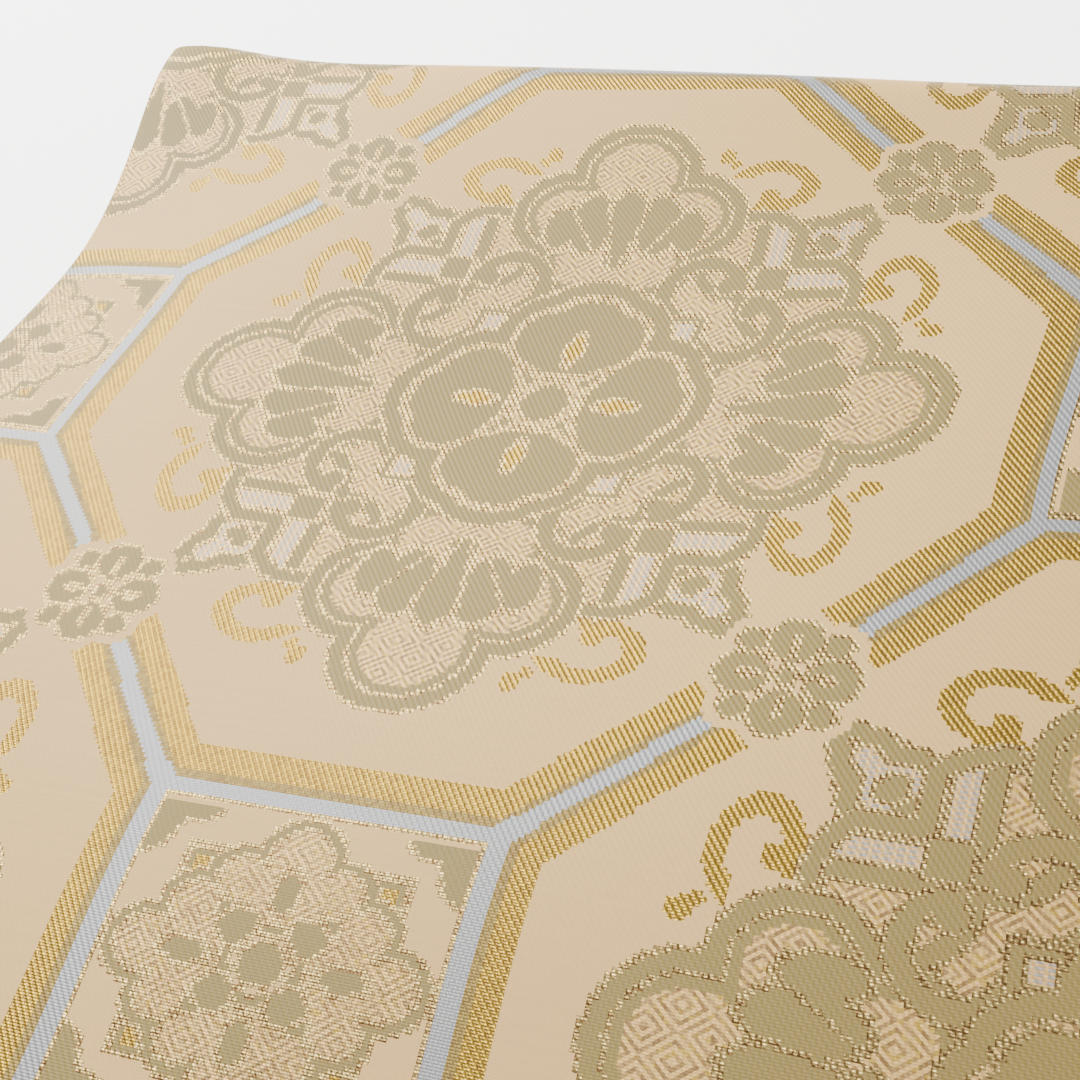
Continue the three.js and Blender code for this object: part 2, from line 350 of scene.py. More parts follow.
def cloth_shell(name, stretch, near_face, material, *, count, inset=0.0, thinning=1):
    """One cloth of one stretch of the ribbon, CLOTH thick and rounded at its edges. near_face is how far
    behind the brocade's face it starts, and count is how many columns it has across."""
    lines = stations(stretch, thinning)
    across, inwards = columns(inset, count)
    half = CLOTH / 2
    across_round = np.sqrt(np.clip(1 - np.clip(1 - inwards / half, 0, 1) ** 2, 0, 1))
    lengths = anchored_lengths(across, stretch, lines)
    from_end = np.minimum(np.abs(lengths - lengths[0]), np.abs(lengths - lengths[-1]))
    end_round = np.sqrt(np.clip(1 - np.clip(1 - from_end / half, 0, 1) ** 2, 0, 1))
    points, fabric = [], []
    for side in (-1, 1):
        for i, (part, share) in enumerate(lines):
            depth = near_face + half + side * half * across_round * end_round[i]
            y, z, narrower = part.place(across, depth, share)
            x = across - np.sign(across) * narrower * np.clip(1 - inwards / INSET_REACH, 0, 1) + wander(y)
            y = y + drawn_back(across) * sewn_end_share(part, share)
            points.append(np.stack([x + PILE_SHIFT[0], y + PILE_SHIFT[1], z], axis=1))
            fabric.append(np.stack([across, lengths[i]], axis=1))
    points, fabric = np.concatenate(points), np.concatenate(fabric)
    width, height = len(across), len(lines)
    corner = (np.arange(height - 1)[:, None] * width + np.arange(width - 1)[None, :]).ravel()
    quads = np.stack([corner, corner + 1, corner + width + 1, corner + width], axis=1)
    faces = np.concatenate([quads, quads[:, ::-1] + width * height])
    piece = make_mesh(name, points, faces, material, fabric)
    close_rim(piece)
    return piece


def drawn_back(across):
    """How far a sewn end draws back at its corners."""
    inwards = HALF_WIDTH - np.abs(across)
    return 3.2 * np.exp(-inwards / 1.8)


def sewn_end_share(part, share):
    """1 at the sewn ends and 0 away from them, fading within a few millimetres."""
    if isinstance(part, Turn) or part.ply not in SEWN_ENDS:
        return 0.0
    y = part.place(np.zeros(1), PLY / 2, share)[0][0]
    return math.exp(-(y - SEWN_ENDS[part.ply]) / 3.0)


def close_rim(piece):
    """Joins the two faces of a shell where they meet, and turns every face outwards."""
    work = bmesh.new()
    work.from_mesh(piece.data)
    bmesh.ops.remove_doubles(work, verts=work.verts, dist=1e-6)
    bmesh.ops.recalc_face_normals(work, faces=work.faces)
    work.to_mesh(piece.data)
    work.free()


# ---------------------------------------------------------------------------------------------------
# Numbers that vary over the cloth, worked out by shader nodes
# ---------------------------------------------------------------------------------------------------


class Field:
    """A number at each point of the cloth. Arithmetic on it adds nodes to its tree."""

    def __init__(self, tree, socket):
        self.tree, self.socket = tree, socket

    def math(self, operation, *others):
        node = self.tree.nodes.new("ShaderNodeMath")
        node.operation = operation
        for slot, value in zip(node.inputs, (self, *others)):
            connect(self.tree, value, slot)
        return Field(self.tree, node.outputs[0])

    def __add__(self, other):
        return self.math("ADD", other)

    def __sub__(self, other):
        return self.math("SUBTRACT", other)

    def __mul__(self, other):
        return self.math("MULTIPLY", other)

    def times_plus(self, factor, offset):
        return self.math("MULTIPLY_ADD", factor, offset)

    def low(self, other):
        return self.math("MINIMUM", other)

    def high(self, other):
        return self.math("MAXIMUM", other)

    def size(self):
        return self.math("ABSOLUTE")

    def under(self, other):
        return self.math("LESS_THAN", other)

    def over(self, other):
        return self.math("GREATER_THAN", other)

    def between(self, low, high):
        return self.math("COMPARE", (low + high) / 2, (high - low) / 2)

    def floor(self):
        return self.math("FLOOR")

    def fraction(self):
        return self.math("FRACT")

    def pingpong(self, period):
        return self.math("PINGPONG", period)

    def wave(self):
        return self.math("SINE")

    def eased(self, low, high):
        """0 below low, 1 above high, and a smooth rise between."""
        node = self.tree.nodes.new("ShaderNodeMapRange")
        node.interpolation_type = "SMOOTHSTEP"
        connect(self.tree, self, node.inputs["Value"])
        node.inputs["From Min"].default_value = low
        node.inputs["From Max"].default_value = high
        return Field(self.tree, node.outputs["Result"])


class Spot:
    """A place in the figure, for distances to discs, ovals and boxes."""

    def __init__(self, p, q):
        self.p, self.q = p, q
        node = p.tree.nodes.new("ShaderNodeCombineXYZ")
        connect(p.tree, p, node.inputs["X"])
        connect(p.tree, q, node.inputs["Y"])
        self.tree, self.vector = p.tree, node.outputs[0]

    def _from(self, vector, x, y):
        node = self.tree.nodes.new("ShaderNodeVectorMath")
        node.operation = "DISTANCE"
        self.tree.links.new(vector, node.inputs[0])
        node.inputs[1].default_value = (x, y, 0)
        return Field(self.tree, node.outputs["Value"])

    def disc(self, x, y, radius):
        """The distance outside a disc, and below zero inside it."""
        return self._from(self.vector, x, y) - radius

    def oval(self, x, y, across, along):
        """As disc, near the edge of an upright oval."""
        node = self.tree.nodes.new("ShaderNodeVectorMath")
        node.operation = "MULTIPLY"
        self.tree.links.new(self.vector, node.inputs[0])
        node.inputs[1].default_value = (1 / across, 1 / along, 1)
        scale = min(across, along)
        return self._from(node.outputs[0], x / across, y / along).times_plus(scale, -scale)

    def box(self, x, y, half):
        return (self.p - x).size().high((self.q - y).size()) - half


def connect(tree, value, slot):
    """Gives a socket a Field, another socket, or a plain value."""
    if isinstance(value, Field):
        value = value.socket
    if isinstance(value, bpy.types.NodeSocket):
        tree.links.new(value, slot)
    else:
        slot.default_value = value


def pick(mask, inside, outside):
    """inside where the mask is 1, outside where it is 0."""
    node = mask.tree.nodes.new("ShaderNodeMix")
    node.data_type = "FLOAT"
    node.clamp_factor = False
    for slot, value in zip((0, 2, 3), (mask, outside, inside)):
        connect(mask.tree, value, node.inputs[slot])
    return Field(mask.tree, node.outputs[0])


# ---------------------------------------------------------------------------------------------------
# The woven figure: medallions in octagons that share their sides with small flowered squares
# ---------------------------------------------------------------------------------------------------

# The yarns that show on the face.
GROUND, OLIVE, GOLD_LINE, GOLD_HATCH, SILVER_HATCH, GOLD, SILVER, EDGING, GOLD_RIBS = range(9)
YARNS = 9

# Lengths in the figure are in units of the octagon's half width. The squares' half sizes are:
SQUARE_X = 0.307
SQUARE_Y = 0.265
FLOWER = 0.286  # the half size at which a square's flower is drawn, before it is stretched to fit
LINE = 0.0048  # half the width of a gold outline
STEP = 0.0085  # the smallest step of the woven design


def paint(yarn, distance, *rings):
    """Lays yarns over a shape. Each ring is low, high and a yarn; None for low takes all under high."""
    for low, high, laid in rings:
        mask = distance.under(high) if low is None else distance.between(low, high)
        yarn = pick(mask, laid, yarn)
    return yarn


def outlined(yarn, distance, *inner):
    """An olive shape with a gold outline, and then any rings inside it."""
    return paint(yarn, distance, (None, LINE, GOLD_LINE), (None, -LINE, OLIVE), *inner)


def folded(x, y):
    """The figure repeats by mirrors: brings any point into one quarter of one octagon."""
    across, along = 1 + SQUARE_X, 1 + SQUARE_Y
    x, y = x.pingpong(across), y.pingpong(along)
    beyond = (x * (1 / across) + y * (1 / along)).over(1.0)
    return pick(beyond, x * -1 + across, x), pick(beyond, y * -1 + along, y)


def draw_medallion(x, y, yarn):
    """The medallion in an octagon, from its back layer to the flower on top."""
    p, q = x.low(y), x.high(y)
    at = Spot(p, q)
    # the tendril, a C scroll with a curl and a comma beside the palmette
    scroll = at.oval(0.315, 0.622, 0.078, 0.058).size() - 0.0155
    scroll = scroll.high(at.disc(0.243, 0.598, 0.048) * -1)
    scroll = scroll.low(at.disc(0.310, 0.592, 0.021)).low(at.disc(0.204, 0.708, 0.021))
    scroll = scroll.low(at.disc(0.224, 0.686, 0.014))
    yarn = paint(yarn, scroll, (None, 0.0, GOLD))
    # the hatched field behind everything
    field = at.disc(0.0, 0.33, 0.31).low(at.disc(0.30, 0.33, 0.19))
    yarn = paint(yarn, field, (None, 0.0, GOLD_HATCH))
    # the corner leaf and its heart
    leaf = at.disc(0.448, 0.438, 0.096).low(at.disc(0.500, 0.490, 0.066)).low(at.disc(0.530, 0.520, 0.046))
    yarn = outlined(yarn, leaf, (None, LINE - 0.036, GOLD_LINE), (None, -LINE - 0.036, SILVER_HATCH))
    heart = at.disc(0.446, 0.458, 0.022).low(at.disc(0.458, 0.432, 0.020)).low(at.disc(0.416, 0.420, 0.022))
    yarn = outlined(yarn, heart)
    # the wing, barred with silver
    wing = at.disc(0.300, 0.420, 0.132).high(p - 0.410)
    yarn = outlined(yarn, wing, (None, LINE - 0.034, GOLD_LINE))
    bars = pick(p.over(0.288), GOLD_LINE, GOLD_HATCH)
    bars = paint(bars, p, (0.296, 0.322, OLIVE), (0.330, 0.366, SILVER_HATCH))
    yarn = pick(wing.under(-0.034 - LINE), bars, yarn)
    # the palmette
    lobes = at.disc(0.0, 0.655, 0.152).low(at.disc(0.138, 0.530, 0.132)).low(at.disc(0.05, 0.40, 0.14))
    yarn = outlined(
        yarn,
        lobes,
        (None, LINE - 0.036, GOLD_LINE),
        (None, -LINE - 0.036, OLIVE),
        (None, -0.058, GOLD_HATCH),
    )
    fingers = (
        at.oval(0.0, 0.515, 0.046, 0.098)
        .low(at.oval(0.078, 0.506, 0.050, 0.092))
        .low(at.oval(0.146, 0.490, 0.036, 0.066))
        .low(at.disc(0.0, 0.412, 0.034))
    )
    yarn = outlined(yarn, fingers)
    for spread in (0.20, 0.60):
        rib = (q.times_plus(-spread, 0.33 * spread) + p).size() - LINE
        yarn = paint(yarn, rib.high(fingers + LINE), (None, 0.0, GOLD_LINE))
    # the volute, with its curl
    volute = (at.disc(0.215, 0.320, 0.080).size() - 0.0195).high(at.disc(0.278, 0.272, 0.050) * -1)
    volute = volute.low(at.disc(0.268, 0.334, 0.027))
    yarn = outlined(yarn, volute)
    yarn = outlined(yarn, at.box(0.350, 0.350, 0.035))
    # the sepals
    sepal = at.box(0.196, 0.196, 0.058)
    yarn = outlined(yarn, sepal, (None, -0.018, GOLD_LINE), (None, -0.027, SILVER_HATCH))
    # the flower in the middle
    petal = at.disc(0.062, 0.178, 0.083).low(at.disc(0.012, 0.226, 0.068)).low(at.disc(0.022, 0.148, 0.076))
    yarn = paint(
        yarn,
        petal,
        (None, 0.048 + LINE, GOLD_LINE),
        (None, 0.048 - LINE, OLIVE),
        (None, 0.012, GOLD_LINE),
        (None, 0.004, GOLD_HATCH),
        (None, LINE - 0.004, GOLD_LINE),
        (None, -LINE - 0.004, OLIVE),
    )
    drop = at.oval(0.0, 0.150, 0.018, 0.046)
    yarn = paint(yarn, drop, (None, LINE, GOLD_LINE), (None, -0.004, GOLD))
    middle = at.disc(0.0, 0.0, 0.0)
    return paint(
        yarn,
        middle,
        (None, 0.074, GOLD_LINE),
        (None, 0.063, GOLD_HATCH),
        (None, 0.056, GOLD_LINE),
        (None, 0.048, OLIVE),
    )


def draw_square(x, y, inside):
    """A square's flower. x and y are from its middle, and inside is the distance in from its sides."""
    u, v = x * (FLOWER / SQUARE_X), y * (FLOWER / SQUARE_Y)
    p, q = u.low(v), u.high(v)
    corner = Spot(q * -1 + (FLOWER - 0.026), p * -1 + (FLOWER - 0.026))
    leaf = corner.disc(-0.010, 0.060, 0.050).low(corner.disc(0.018, 0.018, 0.042))
    yarn = pick(leaf.under(LINE), GOLD_LINE, GROUND)
    yarn = paint(yarn, leaf, (None, -LINE, OLIVE))
    yarn = paint(yarn, inside, (None, 0.028, GROUND), (0.014, 0.024, GOLD_LINE), (None, 0.014, SILVER))
    at = Spot(p, q)
    yarn = outlined(yarn, at.box(0.143, 0.140, 0.042), (None, -0.017, GOLD))
    petal = (
        at.disc(0.0, 0.190, 0.070)
        .low(at.disc(0.080, 0.137, 0.060))
        .low(at.disc(0.022, 0.118, 0.072))
    )
    yarn = outlined(yarn, petal, (None, LINE - 0.021, GOLD_LINE), (None, -LINE - 0.021, GOLD_RIBS))
    yarn = outlined(yarn, at.oval(0.0, 0.125, 0.022, 0.042))
    yarn = outlined(yarn, at.disc(0.054, 0.060, 0.030))
    return paint(yarn, at.disc(0.0, 0.0, 0.0), (None, 0.043, GOLD_LINE), (None, 0.033, OLIVE))


def draw_bands(x, y, yarn):
    """The gold and silver bands along the octagons' sides, the squares and the florets between them."""
    across, along = 1 + SQUARE_X, 1 + SQUARE_Y
    north = (y * (1 / along)).over(x * (1 / across))
    square_x = pick(north, x, x * -1 + across)
    square_y = pick(north, y * -1 + along, y)
    in_square = (square_x * -1 + SQUARE_X).low(square_y * -1 + SQUARE_Y)
    run = math.hypot(1 - SQUARE_X, 1 - SQUARE_Y)
    normal_x, normal_y = (1 - SQUARE_Y) / run, (1 - SQUARE_X) / run
    slant = (x * -normal_x + (normal_x + normal_y * SQUARE_Y)) - y * normal_y
    in_octagon = (x * -1 + 1).low(y * -1 + 1).low(slant)
    yarn = paint(yarn, in_octagon, (0.029, 0.079, GOLD), (0.012, 0.029, EDGING), (None, 0.015, SILVER))
    yarn = pick(in_square.over(0.0), draw_square(square_x, square_y, in_square), yarn)
    # the small floret where two octagons' slanting sides meet
    side_x, side_y = (x - across / 2).size(), (y - along / 2).size()
    p, q = side_x.low(side_y), side_x.high(side_y)
    at = Spot(p, q)
    floret = at.disc(0.0, 0.074, 0.046).low(at.disc(0.070, 0.070, 0.025))
    yarn = paint(yarn, floret, (None, 0.024, GROUND))
    yarn = outlined(yarn, floret)
    yarn = paint(yarn, at.oval(0.0, 0.062, 0.011, 0.026), (None, 0.0, GOLD_LINE))
    yarn = paint(yarn, (q - p - 0.012).size(), (None, 0.0, GOLD_LINE))
    return paint(yarn, at.disc(0.0, 0.0, 0.0), (None, 0.024, GOLD_LINE), (None, 0.012, OLIVE))


def draw_figure(x, y):
    """The yarn that shows at each point, as its number."""
    x = (x * (1 / STEP)).floor().times_plus(STEP, STEP / 2)
    y = (y * (1 / STEP)).floor().times_plus(STEP, STEP / 2)
    x, y = folded(x, y)
    return draw_bands(x, y, draw_medallion(x, y, x * 0.0))


# ---------------------------------------------------------------------------------------------------
# Node groups and materials
# ---------------------------------------------------------------------------------------------------


def new_group(name, inputs, outputs):
    """A shader node group with named sockets: inputs are (name, kind, default), outputs (name, kind)."""
    group = bpy.data.node_groups.new(name, "ShaderNodeTree")
    for label, kind, default in inputs:
        socket = group.interface.new_socket(label, in_out="INPUT", socket_type=kind)
        if default is not None:
            socket.default_value = default
    for label, kind in outputs:
        group.interface.new_socket(label, in_out="OUTPUT", socket_type=kind)
    return group, group.nodes.new("NodeGroupInput"), group.nodes.new("NodeGroupOutput")


def yarn_value(tree, factor, values):
    """A value for each yarn number. The factor is the number's place in the list, from 0 to 1."""
    node = tree.nodes.new("ShaderNodeValToRGB")
    ramp = node.color_ramp
    ramp.interpolation = "CONSTANT"
    while len(ramp.elements) < len(values):
        ramp.elements.new(1.0)
    for number, value in enumerate(values):
        ramp.elements[number].position = number / len(values)
        ramp.elements[number].color = (value, value, value, 1.0)
    connect(tree, factor, node.inputs["Fac"])
    return node.outputs["Color"]


def mixed(tree, factor, first, second):
    """The first colour where the factor is 0, and the second where it is 1."""
    node = tree.nodes.new("ShaderNodeMix")
    node.data_type = "RGBA"
    for slot, value in zip((0, 6, 7), (factor, first, second)):
        if isinstance(value, (tuple, list)) and len(value) == 3:
            value = (*value, 1.0)
        connect(tree, value, node.inputs[slot])
    return node.outputs[2]


def speckle(tree, x, y):
    """A random number for each cell of whole x and y."""
    place = tree.nodes.new("ShaderNodeCombineXYZ")
    connect(tree, x, place.inputs["X"])
    connect(tree, y, place.inputs["Y"])
    noise = tree.nodes.new("ShaderNodeTexWhiteNoise")
    noise.noise_dimensions = "2D"
    tree.links.new(place.outputs[0], noise.inputs["Vector"])
    return Field(tree, noise.outputs["Value"])


def cloudy(tree, vector, scale, detail=2.0):
    """A soft uneven number over the cloth. A larger scale makes smaller patches."""
    noise = tree.nodes.new("ShaderNodeTexNoise")
    noise.noise_dimensions = "2D"
    noise.inputs["Scale"].default_value = scale
    noise.inputs["Detail"].default_value = detail
    tree.links.new(vector, noise.inputs["Vector"])
    return Field(tree, noise.outputs["Fac"])


def figure_group():
    """The woven figure: which yarn shows at a place on the cloth."""
    group, given, result = new_group(
        "Octagon and medallion figure",
        [("Across", "NodeSocketFloat", 0.0), ("Along", "NodeSocketFloat", 0.0)],
        [("Yarn", "NodeSocketFloat")],
    )
    yarn = draw_figure(Field(group, given.outputs["Across"]), Field(group, given.outputs["Along"]))
    connect(group, yarn, result.inputs["Yarn"])
    return group


TURN = 2 * math.pi
RIB = 0.56  # millimetres from one slanting rib of the weave to the next
RIB_SLANT = (0.788, 0.616)  # the way across the ribs
ROW = 0.28  # from one weft row to the next
WARP = 0.42  # from one warp thread to the next
GRAIN = 0.25  # the width of the finest unevenness
STREAK = 14  # how far a weft thread keeps one tone
CELL = (0.5, 0.56)  # the size of one step of a fine pattern, across and along
BEAD = (0.5, 0.52)  # the same for an outline's beads

# Each yarn's roughness, metallic and height of relief.
YARN_FINISH = (
    (0.66, 0.0, 0.18),  # ground
    (0.62, 0.05, 0.42),  # olive
    (0.42, 0.70, 0.60),  # gold outline
    (0.55, 0.20, 0.40),  # gold hatch
    (0.52, 0.20, 0.40),  # silver hatch
    (0.44, 0.75, 0.70),  # gold
    (0.48, 0.30, 0.45),  # silver
    (0.52, 0.40, 0.60),  # edging
    (0.48, 0.35, 0.60),  # gold ribs
)

# Mixing colours, as light: the painted highlight on an outline's beads, the painted shade of the yarns
# between their ribs, the ground's darker grain and the cloth's uneven tone.
BEAD_HIGHLIGHT = (0.84, 0.64, 0.22)
SILVER_SHADOW = (0.26, 0.28, 0.31)
OLIVE_SHADOW = (0.20, 0.16, 0.08)
GROUND_SHADOW = (0.42, 0.28, 0.18)
CLOUD_SHADOW = (0.30, 0.19, 0.11)


def yarns_group():
    """How each yarn lies, shines and takes colour."""
    group, given, result = new_group(
        "Brocade yarns",
        [
            ("Yarn", "NodeSocketFloat", 0.0),
            ("Cloth", "NodeSocketVector", None),
            ("Ground", "NodeSocketColor", (0.8, 0.7, 0.6, 1)),
            ("Olive", "NodeSocketColor", (0.4, 0.4, 0.2, 1)),
            ("Gold", "NodeSocketColor", (0.7, 0.6, 0.3, 1)),
            ("Gold shadow", "NodeSocketColor", (0.3, 0.15, 0.05, 1)),
            ("Silver", "NodeSocketColor", (0.6, 0.6, 0.65, 1)),
        ],
        [
            ("Color", "NodeSocketColor"),
            ("Roughness", "NodeSocketFloat"),
            ("Metallic", "NodeSocketFloat"),
            ("Normal", "NodeSocketVector"),
        ],
    )
    parts = group.nodes.new("ShaderNodeSeparateXYZ")
    group.links.new(given.outputs["Cloth"], parts.inputs[0])
    across = Field(group, parts.outputs["X"]) * (1 / MM)
    along = Field(group, parts.outputs["Y"]) * (1 / MM)
    code = Field(group, given.outputs["Yarn"])
    number = code.times_plus(1 / YARNS, 0.5 / YARNS)

    # the twill's ribs, which slope down from left to right, and the weft rows that cross the cloth
    slant_x, slant_y = RIB_SLANT
    rib = across.times_plus(slant_x * TURN / RIB, along * (slant_y * TURN / RIB)).wave()
    row = (along * (TURN / ROW)).wave()
    warp = (across * (TURN / WARP)).wave()

    # each yarn is a little lighter or darker from place to place, and each row and cell of its own
    cell_x, cell_y = CELL
    cell = speckle(group, (across * (1 / cell_x)).floor(), (along * (1 / cell_y)).floor())
    fine = speckle(group, (across * (1 / GRAIN)).floor(), (along * (1 / ROW)).floor())
    streak = speckle(group, (across * (1 / STREAK)).floor(), (along * (1 / ROW)).floor())
    cloud = cloudy(group, given.outputs["Cloth"], 34.0, 0.0)

    # painted shade darkens the gold yarn between its ribs, over a random tone for each cell, and an outline
    # is a row of beads, each with a painted highlight, painted shade in its gaps and a random tone
    gold_shade_and_tone = (rib * -0.28 + cell.times_plus(0.28, 0.22)).high(0.0)
    gold = mixed(group, gold_shade_and_tone, given.outputs["Gold"], given.outputs["Gold shadow"])
    bead_x = ((across * (1 / BEAD[0])).fraction() - 0.45).size()
    bead_y = ((along * (1 / BEAD[1])).fraction() - 0.55).size()
    # painted shade round each bead's edge, with a random tone for each bead
    bead_shade_and_tone = bead_x.high(bead_y).eased(0.12, 0.48) * 0.62 + cell * 0.42
    bead = mixed(group, bead_shade_and_tone.low(1.0), BEAD_HIGHLIGHT, given.outputs["Gold shadow"])
    # painted shade darkens the silver and olive yarns on one side of their ribs, with a random fine tone on
    # the olive
    silver_rib_shade = rib.times_plus(-0.09, 0.09).high(0.0)
    silver = mixed(group, silver_rib_shade, given.outputs["Silver"], SILVER_SHADOW)
    olive_shade_and_tone = rib.times_plus(-0.10, 0.10) + fine * 0.12
    olive = mixed(group, olive_shade_and_tone, given.outputs["Olive"], OLIVE_SHADOW)
    edging = mixed(group, cell.times_plus(0.45, 0.05), given.outputs["Olive"], given.outputs["Gold shadow"])

    # a hatch of nested diamonds over the ground, slanting gold ribs, and rows of silver dashes
    nested = (across.pingpong(2.8) * 0.85 + along.pingpong(2.4)) * (1 / 0.95)
    hatch_mask = nested.fraction().over(0.50) * cell.times_plus(0.55, 0.45)
    thread = mixed(group, cell.eased(0.62, 0.90), given.outputs["Gold shadow"], given.outputs["Gold"])
    hatch = mixed(group, fine.times_plus(0.30, 0.04), given.outputs["Ground"], given.outputs["Gold"])
    hatch = mixed(group, hatch_mask.low(1.0), hatch, thread)
    wide_rib = across.times_plus(0.70 * TURN / 0.85, along * (0.72 * TURN / 0.85)).wave()
    ribs = mixed(group, wide_rib.times_plus(0.35, 0.30).high(0.0) * cell.eased(-0.6, 0.5), hatch, bead)
    check_x = across.fraction().over(0.30)
    check_y = (along * (1 / cell_y)).fraction().over(0.42)
    check = mixed(group, check_x.low(check_y) * 0.80, given.outputs["Ground"], given.outputs["Silver"])
    check = mixed(group, (check_y * -1 + 1) * 0.20, check, given.outputs["Gold shadow"])

    colour = mixed(group, fine * 0.07, given.outputs["Ground"], GROUND_SHADOW)
    for wanted, yarn in (
        (OLIVE, olive),
        (GOLD_LINE, bead),
        (GOLD_HATCH, hatch),
        (SILVER_HATCH, check),
        (GOLD, gold),
        (SILVER, silver),
        (EDGING, edging),
        (GOLD_RIBS, ribs),
    ):
        mask = code.math("COMPARE", float(wanted), 0.3)
        colour = mixed(group, mask, colour, yarn)
    colour = mixed(group, streak * 0.05 + cloud * 0.10, colour, CLOUD_SHADOW)
    group.links.new(colour, result.inputs["Color"])

    rough, metal, strength = (yarn_value(group, number, values) for values in zip(*YARN_FINISH))
    connect(group, rough, result.inputs["Roughness"])
    connect(group, metal, result.inputs["Metallic"])
    relief = group.nodes.new("ShaderNodeBump")
    relief.inputs["Distance"].default_value = 0.00005
    connect(group, strength, relief.inputs["Strength"])
    connect(group, rib + row * 0.35 + warp * 0.20, relief.inputs["Height"])
    group.links.new(relief.outputs["Normal"], result.inputs["Normal"])
    return group


def new_material(name):
    """An empty node material with its Principled shader and the cloth's own coordinates."""
    material = bpy.data.materials.new(name)
    material.use_nodes = True
    tree = material.node_tree
    shader = tree.nodes["Principled BSDF"]
    place = tree.nodes.new("ShaderNodeUVMap")
    place.uv_map = FABRIC_MAP
    return material, tree, shader, place.outputs["UV"]


def brocade(colours, sizes):
    """The patterned front cloth."""
    material, tree, shader, cloth = new_material("brocade")
    parts = tree.nodes.new("ShaderNodeSeparateXYZ")
    tree.links.new(cloth, parts.inputs[0])
    figure = tree.nodes.new("ShaderNodeGroup")
    figure.node_tree = figure_group()
    middle_x, middle_y = sizes.figure_middle
    across = (Field(tree, parts.outputs["X"]) - middle_x) * (1 / sizes.figure_across)
    along = (Field(tree, parts.outputs["Y"]) - middle_y) * (1 / sizes.figure_along)
    connect(tree, across, figure.inputs["Across"])
    connect(tree, along, figure.inputs["Along"])
    yarns = tree.nodes.new("ShaderNodeGroup")
    yarns.node_tree = yarns_group()
    tree.links.new(figure.outputs["Yarn"], yarns.inputs["Yarn"])
    tree.links.new(cloth, yarns.inputs["Cloth"])
    for label in ("Ground", "Olive", "Gold", "Gold shadow", "Silver"):
        value = getattr(colours, label.lower().replace(" ", "_"))
        yarns.inputs[label].default_value = (*value, 1.0)
    tree.links.new(yarns.outputs["Color"], shader.inputs["Base Color"])
    tree.links.new(yarns.outputs["Roughness"], shader.inputs["Roughness"])
    tree.links.new(yarns.outputs["Metallic"], shader.inputs["Metallic"])
    tree.links.new(yarns.outputs["Normal"], shader.inputs["Normal"])
    return material


def plain_back(colours):
    """The plain twill of the back cloth."""
    material, tree, shader, cloth = new_material("plain_back")
    parts = tree.nodes.new("ShaderNodeSeparateXYZ")
    tree.links.new(cloth, parts.inputs[0])
    across = Field(tree, parts.outputs["X"]) * (1 / MM)
    along = Field(tree, parts.outputs["Y"]) * (1 / MM)
    rib = across.times_plus(TURN / 0.7, along * (TURN / 0.7)).wave()
    row = (along * (TURN / 0.35)).wave()
    fine = speckle(tree, (across * 3).floor(), (along * 3).floor())
    cloud = cloudy(tree, cloth, 40.0)
    # painted shade along the twill's ribs, with a random fine and cloudy tone
    shade = rib * 0.05 + fine * 0.08 + cloud * 0.12
    colour = mixed(tree, shade.high(0.0), (*colours.back, 1.0), (0.40, 0.31, 0.22, 1.0))
    tree.links.new(colour, shader.inputs["Base Color"])
    connect(tree, fine.times_plus(0.12, 0.62), shader.inputs["Roughness"])
    bump = tree.nodes.new("ShaderNodeBump")
    bump.inputs["Distance"].default_value = 0.00004
    bump.inputs["Strength"].default_value = 0.6
    connect(tree, rib + row * 0.5, bump.inputs["Height"])
    tree.links.new(bump.outputs["Normal"], shader.inputs["Normal"])
    shader.inputs["Sheen Weight"].default_value = 0.15
    return material


# ---------------------------------------------------------------------------------------------------
# Settings
# ---------------------------------------------------------------------------------------------------


def linear(red, green, blue):
    """A screen colour, 0 to 255, as the light that Blender works in."""
    return tuple(
        value / 12.92 if value <= 0.04045 else ((value + 0.055) / 1.055) ** 2.4
        for value in (red / 255, green / 255, blue / 255)
    )


def colour_property(label, description, *screen):
    return bpy.props.FloatVectorProperty(
        name=label, description=description, default=linear(*screen), subtype="COLOR", min=0, max=1
    )


class ObiSizes(bpy.types.PropertyGroup):
    """Sizes of the woven figure."""

    figure_across: bpy.props.FloatProperty(
        name="Octagon half width",
        description="From a medallion's middle to its octagon's side, across the cloth",
        default=0.0587,
        unit="LENGTH",
    )
    figure_along: bpy.props.FloatProperty(
        name="Octagon half length",
        description="From a medallion's middle to its octagon's side, along the cloth",
        default=0.0611,
        unit="LENGTH",
    )
    figure_middle: bpy.props.FloatVectorProperty(
        name="Medallion middle",
        description="One medallion's middle on the uncut cloth, from the near end of the top ply",
        size=2,
        default=(-0.0765, 0.4715),
        unit="LENGTH",
    )


class ObiColours(bpy.types.PropertyGroup):
    """Colours of the yarns."""

    ground: colour_property("Ground", "The satin ground of the brocade", 250, 204, 124)
    olive: colour_property("Olive", "The matte khaki yarn", 160, 138, 62)
    gold: colour_property("Gold", "The gold yarn where it catches the light", 200, 165, 50)
    # Gold shadow is painted shade on the gold yarn between its ribs and in an outline's bead gaps, and also
    # the real brown of the hatch threads, the edging and the silver check
    gold_shadow: colour_property("Gold shadow", "The gold yarn's core between its ribs", 98, 64, 22)
    silver: colour_property("Silver", "The silver yarn", 158, 162, 166)
    back: colour_property("Back", "The plain back cloth", 236, 200, 140)


class ObiStage(bpy.types.PropertyGroup):
    """The floor, the lights and the camera."""

    floor: colour_property("Floor", "The pale floor", 244, 244, 243)
    key: bpy.props.FloatProperty(
        name="Key light", description="Power of the main light", default=8, unit="POWER"
    )
    fill: bpy.props.FloatProperty(
        name="Fill light", description="Power of the side light", default=1.5, unit="POWER"
    )


